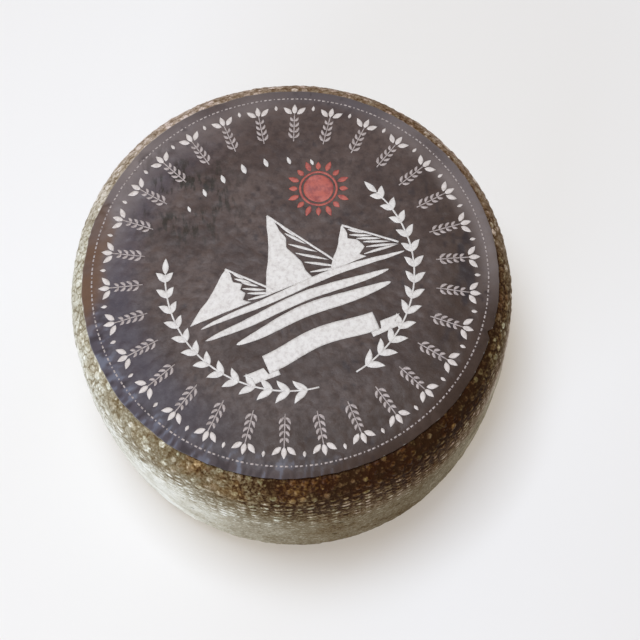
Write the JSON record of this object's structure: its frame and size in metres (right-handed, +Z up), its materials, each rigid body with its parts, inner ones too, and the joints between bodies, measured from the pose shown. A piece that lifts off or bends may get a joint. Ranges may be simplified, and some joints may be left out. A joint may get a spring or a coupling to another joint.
{
  "type": "aged goat cheese wheel",
  "caption": "Whole round wheel of aged goat cheese: flat faces, bulging side, rounded shoulders, nubbly rind and a large round paper label on top.",
  "frame": {"origin": "centre of the face the wheel rests on", "axes": "+Z up through the wheel's middle; -Y towards the viewer in the usual view"},
  "size_m": [0.25, 0.25, 0.1163],
  "materials": {
    "rind": "dry, nubbly, lightly oiled",
    "label_paper": "satin printed paper"
  },
  "bodies": {
    "root": {"cheese_wheel": "rind", "paper_label": "label_paper"}
  },
  "joints": []
}
